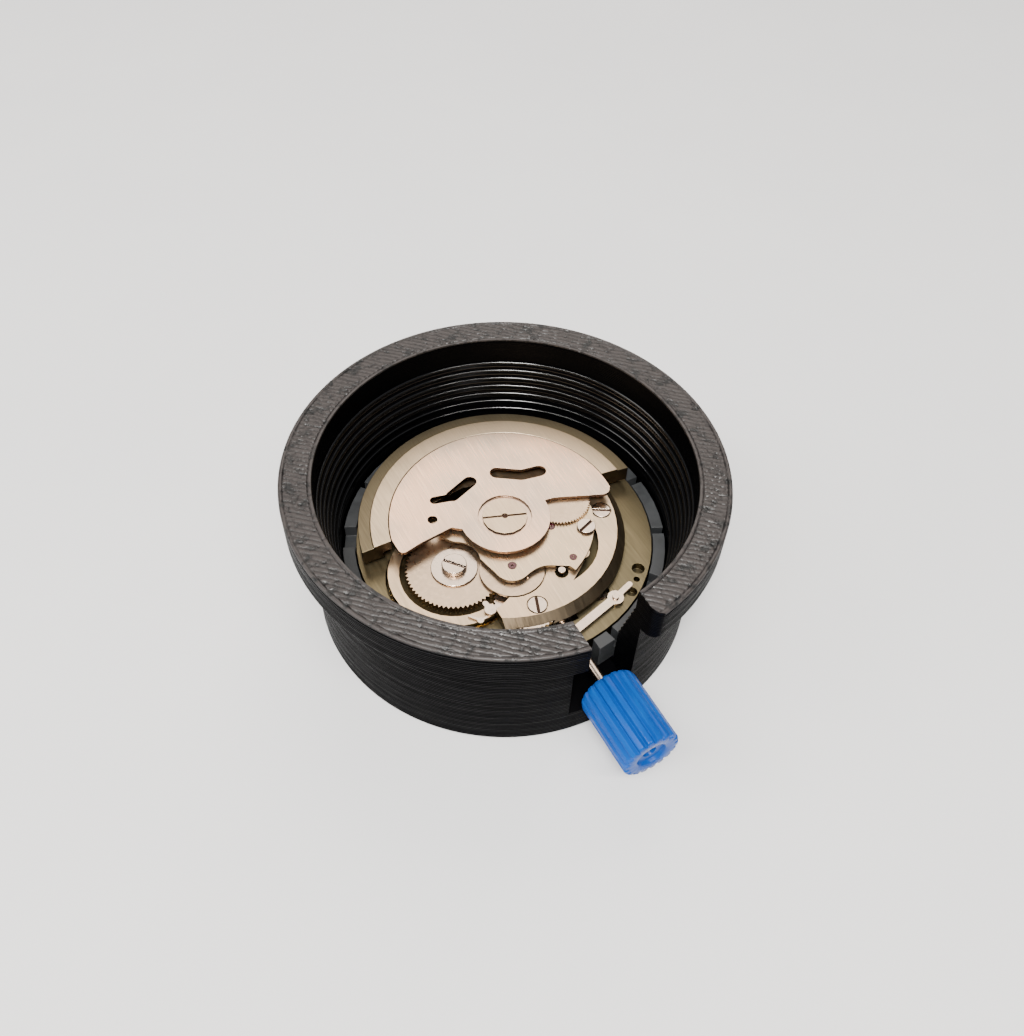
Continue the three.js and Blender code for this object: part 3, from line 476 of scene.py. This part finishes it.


# the third colour of each brushed finish darkens the strokes and is the painted shade on upright walls
finishes = {
    "nickel": brushedMetal("nickel_brushed", (0.74, 0.54, 0.35), (0.6, 0.47, 0.32), (0.06, 0.045, 0.022),
                           0.34, math.radians(25), 0.003 * mm),
    # the mainplate's dark tone is painted shade, standing in for the shadow under the bridges
    "plate": brushedMetal("plate_grained_painted_shade", (0.26, 0.21, 0.12), (0.16, 0.135, 0.08), (0.03, 0.022, 0.01),
                          0.42, math.radians(70), 0.004 * mm),
    "autoNickel": brushedMetal("nickel_automatic_bridge", (0.7, 0.52, 0.34), (0.58, 0.45, 0.3),
                               (0.05, 0.035, 0.02), 0.3, math.radians(-12), 0.003 * mm),
    "rotor_nickel": brushedMetal("rotor_nickel_brushed", (0.88, 0.58, 0.39), (0.56, 0.45, 0.35),
                                 (0.07, 0.04, 0.025), 0.3, math.radians(-35), 0.0012 * mm),
    "weight_tan": brushedMetal("rotor_weight_grained", (0.7, 0.54, 0.36), (0.58, 0.46, 0.32),
                               (0.03, 0.02, 0.012), 0.4, math.radians(50), 0.004 * mm),
    "ledge": brushedMetal("rotor_ledge_grained", (0.21, 0.17, 0.105), (0.15, 0.125, 0.08),
                          (0.03, 0.02, 0.012), 0.48, math.radians(50), 0.004 * mm),
    "steel": plainMetal("steel_polished", (0.62, 0.5, 0.4), (0.22, 0.165, 0.12), 0.24, 0.0006 * mm),
    "brass": plainMetal("brass_turned", (0.72, 0.5, 0.2), (0.5, 0.33, 0.12), 0.3, 0.001 * mm),
    "gear": plainMetal("gear_nickel", (0.56, 0.42, 0.29), (0.17, 0.12, 0.075), 0.3, 0.0008 * mm),
    # painted shade on the train bridge's lower recess floors
    "gap": plainMetal("recess_floor_painted_shade", (0.05, 0.038, 0.02), (0.02, 0.015, 0.008), 0.5, 0.003 * mm),
    "sickle": brushedMetal("sickle_floor_olive", (0.09, 0.075, 0.04), (0.06, 0.05, 0.03),
                           (0.03, 0.022, 0.012), 0.45, math.radians(60), 0.004 * mm),
    # painted shade in the screws' slots
    "screwSlotShade": plainMetal("screw_slot_painted_shade", (0.06, 0.035, 0.025), (0.02, 0.012, 0.01), 0.5, 0.003 * mm),
}


def jewelFinish():
    material = startMaterial("ruby_polished", (0.35, 0.015, 0.05), 0.08)
    inputs = shaderOf(material)
    veil = cloud(material, 1800, 3)
    red = mixColors(material, veil, (0.025, 0.003, 0.004), (0.09, 0.012, 0.018))
    feed(material, inputs["Base Color"], red)
    feed(material, inputs["Roughness"], remap(material, veil, 0.3, 0.7, 0.05, 0.14))
    return material


def casingFinish():
    material = startMaterial("ring_grey_moulded", (0.075, 0.08, 0.085), 0.45)
    inputs = shaderOf(material)
    mottle = cloud(material, 700, 4)
    grey = mixColors(material, mottle, (0.012, 0.013, 0.014), (0.04, 0.043, 0.046))
    feed(material, inputs["Base Color"], grey)
    feed(material, inputs["Roughness"], remap(material, mottle, 0.3, 0.7, 0.35, 0.6))
    feed(material, inputs["Normal"], bump(material, cloud(material, 4000, 3), 0.01 * mm))
    return material


def knobFinish():
    material = startMaterial("knob_blue_moulded", (0.0, 0.13, 0.5), 0.32)
    inputs = shaderOf(material)
    drift = cloud(material, 350, 3)
    scuffs = remap(material, cloud(material, 1500, 5, place(material, (1, 0.2, 1))), 0.55, 0.75, 0.0, 0.4)
    blue = mixColors(material, drift, (0.0, 0.042, 0.24), (0.0, 0.07, 0.34))
    feed(material, inputs["Base Color"], mixColors(material, scuffs, blue, (0.0, 0.11, 0.45)))
    inputs["IOR"].default_value = 1.25
    feed(material, inputs["Roughness"], remap(material, drift, 0.3, 0.7, 0.24, 0.42))
    feed(material, inputs["Normal"], bump(material, cloud(material, 4500, 3), 0.008 * mm))
    return material


finishes["ruby"] = jewelFinish()
finishes["ring_grey"] = casingFinish()
finishes["knob_blue"] = knobFinish()
print("materials of the movement are ready")

# Frame nodes that stay as they are, mostly inside the movement, take the finish of their slot
slotOf = {subpart["node"]: subpart["material_slot"] for subpart in frame["record"]["subparts"]}
for nodeName, slotName in slotOf.items():
    if nodeName != "holder_body":
        wear(nodes[nodeName], finishes[slotName])

# Frame nodes that show: copied, merged, their edges rounded. Each has (body, finish, edge, bevel steps)
edged = {
    "casing_ring": ("movement", "ring_grey", 0.07, 2),
    "mainplate": ("movement", "plate", 0.05, 2),
    "train_bridge": ("movement", "nickel", 0.05, 2),
    "automatic_bridge": ("movement", "autoNickel", 0.035, 2),
    "balance_cock": ("movement", "nickel", 0.05, 2),
    "rotor_screw": ("movement", "nickel", 0.02, 2),
    "train_bridge_screw_front": ("movement", "steel", 0.04, 2),
    "train_bridge_screw_side": ("movement", "steel", 0.04, 2),
    "automatic_bridge_screw": ("movement", "steel", 0.04, 2),
    "balance_cock_screw": ("movement", "steel", 0.04, 2),
    "guide_pin": ("movement", "steel", 0.04, 2),
    "click_spring": ("movement", "steel", 0.02, 1),
    "rotor_plate": ("rotor", "rotor_nickel", 0.03, 2),
    "rotor_weight": ("rotor", "weight_tan", 0.05, 2),
    "ratchet_washer": ("ratchet", "steel", 0.05, 2),
    "ratchet_screw": ("ratchet", "steel", 0.09, 3),
    "ratchet_wheel": ("ratchet", "gear", 0.02, 1),
    "second_reduction_wheel": ("second_reduction", "gear", 0.02, 1),
    "first_reduction_wheel": ("first_reduction", "gear", 0.015, 1),
    "setting_lever": ("setting_lever", "steel", 0.04, 2),
    "click": ("click", "steel", 0.03, 2),
    "winding_stem": ("stem", "steel", 0.03, 2),
}

# heights of the darker floors on the train bridge, the lower one painted with recess shade, and of the rotor
# weight's ledge
bridgeFloors = {"gap": (6.5, 7.1), "sickle": (7.27, 7.5)}
weightLedge = (8.9, 9.03)


def edgedCopy(nodeName, edge, steps):
    source = nodes[nodeName]
    piece = bpy.data.objects.new(nodeName + "_edged", source.data.copy())
    bpy.context.scene.collection.objects.link(piece)
    piece.data.transform(source.matrix_world)
    piece.scale = (1 / mm, 1 / mm, 1 / mm)
    onlyThis(piece)
    bpy.ops.object.transform_apply(location=True, rotation=True, scale=True)
    editAll(piece)
    bpy.ops.mesh.remove_doubles(threshold=0.001)
    bpy.ops.mesh.dissolve_limited(angle_limit=math.radians(1.0))
    objectMode()
    bpy.ops.object.shade_smooth_by_angle(angle=math.radians(32))
    applyModifier(piece, "BEVEL", width=edge, segments=steps, limit_method="ANGLE",
                  angle_limit=math.radians(40), use_clamp_overlap=True, miter_outer="MITER_ARC")
    bpy.ops.object.shade_smooth_by_angle(angle=math.radians(38))
    applyModifier(piece, "WEIGHTED_NORMAL", keep_sharp=True)
    return piece


# the bottoms and the walls of a screw's slot, under its top, where painted shade goes
def inScrewSlot(top):
    return lambda centre, normal: (abs(normal.z) > 0.9 and centre.z < top - 0.05
                                   or abs(normal.z) < 0.2 and top - 0.2 < centre.z < top - 0.06)


# faces that look up between two heights
def facesUp(low, high):
    return lambda centre, normal: normal.z > 0.9 and low < centre.z < high


for nodeName, (body, finish, edge, steps) in edged.items():
    piece = edgedCopy(nodeName, edge, steps)
    wear(piece, finishes[finish])
    if "screw" in nodeName:
        # the screws' slots get painted shade
        wear(piece, finishes[finish], finishes["screwSlotShade"])
        paintFaces(piece, 1, inScrewSlot(max(vertex.co.z for vertex in piece.data.vertices)))
    if nodeName == "train_bridge":
        wear(piece, finishes[finish], finishes["gap"], finishes["sickle"])
        # painted shade on the lower recess floors; a darker olive on the sickle floors
        paintFaces(piece, 1, facesUp(*bridgeFloors["gap"]))
        paintFaces(piece, 2, facesUp(*bridgeFloors["sickle"]))
    if nodeName == "rotor_weight":
        wear(piece, finishes[finish], finishes["ledge"])
        paintFaces(piece, 1, facesUp(*weightLedge))
    finishPiece(piece, slotOf[nodeName], body, nodeName)
print("movement pieces have their edges")

# Winding knob: a fluted outline, drawn out along the stem
knob = {
    "start": 17.85, "length": 7.05, "radius": 2.58, "depth": 0.34, "flutes": 18, "fluteSteps": 8,
    "height": 5.9, "core": 1.98, "countersink": 1.35, "hole": 0.62, "holeDepth": 1.3,
    "bore": 0.47, "boreDepth": 0.9, "endDisc": 0.12, "startSize": 0.9,
}

# the fluted wall from its start: how far each step rises and how much it grows.
# The long middle step takes what the ends leave of the length
knobSteps = [(0.2, 1 / 0.93), (0.28, 0.93 / 0.9), (knob["length"] - 0.6 - 0.22, 1.0),
             (0.14, 0.975), (0.08, 0.95)]

# the rings that close each end, as (rise, radius)
knobStartRings = [(-0.02, knob["core"]), (0.02 - knob["endDisc"], knob["core"] - 0.04), (0, knob["bore"]),
                  (knob["boreDepth"], knob["bore"]), (0, 0.001)]
knobFarRings = [(0, knob["countersink"] + 0.2), (-0.1, knob["countersink"]), (-0.3, knob["countersink"] - 0.1),
                (0, knob["hole"]), (-knob["holeDepth"], knob["hole"] - 0.12), (0, 0.001)]


def knobPiece():
    bpy.ops.mesh.primitive_circle_add(vertices=knob["flutes"] * knob["fluteSteps"], radius=knob["radius"],
                                      location=(0, 0, 0))
    piece = bpy.context.active_object
    piece.name = piece.data.name = "winding_knob_fluted"
    step = math.tau / knob["flutes"]
    for vertex in piece.data.vertices:
        angle = (math.atan2(vertex.co.y, vertex.co.x) / step) % 1.0
        valley = max(0.0, math.cos(math.tau * (angle - 0.5))) ** 0.8
        vertex.co *= 1 - knob["depth"] * valley / knob["radius"]
    editAll(piece)
    bpy.ops.transform.resize(value=(knob["startSize"], knob["startSize"], 1))
    bpy.ops.transform.translate(value=(0, 0, knob["endDisc"]))
    for rise, grow in knobSteps:
        bpy.ops.mesh.extrude_region_move(TRANSFORM_OT_translate={"value": (0, 0, rise)})
        bpy.ops.transform.resize(value=(grow, grow, 1))
    objectMode()
    return piece


# extrudes the picked ring along the axis and rounds it to a radius
def ringTo(piece, rise, radius):
    bpy.ops.mesh.extrude_region_move(TRANSFORM_OT_translate={"value": (0, 0, rise)})
    objectMode()
    for vertex in piece.data.vertices:
        if vertex.select:
            vertex.co.xy = vertex.co.xy.normalized() * radius
    bpy.ops.object.mode_set(mode="EDIT")


# each end goes inwards ring by ring and closes on the axis
def knobEnds(piece):
    top = max(vertex.co.z for vertex in piece.data.vertices)
    low = min(vertex.co.z for vertex in piece.data.vertices)
    editAll(piece)
    pickVertices(piece, lambda spot: spot.z < low + 0.001)
    for rise, radius in knobStartRings:
        ringTo(piece, rise, radius)
    pickVertices(piece, lambda spot: spot.z > top - 0.001)
    for rise, radius in knobFarRings:
        ringTo(piece, rise, radius)
    bpy.ops.mesh.select_all(action="SELECT")
    bpy.ops.mesh.remove_doubles(threshold=0.01)
    bpy.ops.mesh.normals_make_consistent(inside=False)
    objectMode()


knobBody = knobPiece()
knobEnds(knobBody)
onlyThis(knobBody)
knobBody.rotation_euler = (math.radians(90), 0, 0)
knobBody.location = (0, -knob["start"], knob["height"])
bpy.ops.object.transform_apply(location=True, rotation=True, scale=True)
applyModifier(knobBody, "BEVEL", width=0.03, segments=2, limit_method="ANGLE",
              angle_limit=math.radians(40), use_clamp_overlap=True)
bpy.ops.object.shade_smooth_by_angle(angle=math.radians(35))
wear(knobBody, finishes["knob_blue"])
finishPiece(knobBody, "knob_blue", "stem", "winding_knob")
print("knob:", len(knobBody.data.polygons), "faces")

# Floor, light and camera. Each light has its place, its width and height, its power and its colour
studio = {
    "key": ((-0.14, -0.2, 0.42), (0.12, 0.12), 3.2, (1.0, 0.98, 0.95)),
    "card": ((0.24, 0.4, 0.5), (0.5, 0.5), 2.6, (1.0, 0.92, 0.84)),
    "fill": ((-0.4, 0.15, 0.28), (0.3, 0.3), 1.2, (1.0, 0.98, 0.96)),
    "strip": ((-0.1, -0.15, 0.4), (0.5, 0.03), 1.9, (1.0, 0.97, 0.92)),
    "world": 0.32,
}
bpy.ops.mesh.primitive_plane_add(size=3, location=(0, 0, 0))
floor = bpy.context.active_object
floor.name = "floor"
floorPaint = startMaterial("floor_pale", (0.78, 0.78, 0.78), 0.7)
floorTone = mixColors(floorPaint, cloud(floorPaint, 40, 3), (0.76, 0.76, 0.77), (0.82, 0.82, 0.82))
feed(floorPaint, shaderOf(floorPaint)["Base Color"], floorTone)
wear(floor, floorPaint)

for lightName in ("key", "card", "fill", "strip"):
    spot, size, power, color = studio[lightName]
    lamp = bpy.data.lights.new(lightName, "AREA")
    lamp.shape = "RECTANGLE"
    lamp.size, lamp.size_y = size
    lamp.energy = power
    lamp.color = color
    lampObject = bpy.data.objects.new(lightName, lamp)
    bpy.context.scene.collection.objects.link(lampObject)
    lampObject.location = spot
    lampObject.rotation_euler = (Vector((0, 0, 0.01)) - Vector(spot)).to_track_quat("-Z", "Y").to_euler()

world = bpy.data.worlds.new("studio_world")
bpy.context.scene.world = world
world.use_nodes = True
background = world.node_tree.nodes["Background"]
background.inputs["Color"].default_value = (0.95, 0.97, 1.0, 1)
background.inputs["Strength"].default_value = studio["world"]

view = {
    "spot": (-0.02843, -0.05055, 0.07864), "aim": (-0.0023, -0.00528, 0.0157),
    "roll": 2.1, "lens": 34.75,
}
cameraData = bpy.data.cameras.new("camera")
cameraData.lens = view["lens"]
cameraData.sensor_width = 36
cameraData.clip_start = 0.001
camera = bpy.data.objects.new("camera", cameraData)
bpy.context.scene.collection.objects.link(camera)
camera.location = view["spot"]
camera.rotation_mode = "QUATERNION"
look = (Vector(view["aim"]) - Vector(view["spot"])).to_track_quat("-Z", "Y")
camera.rotation_quaternion = look @ Quaternion((0, 0, 1), math.radians(view["roll"]))
bpy.context.scene.camera = camera
print("floor, light and camera are ready")
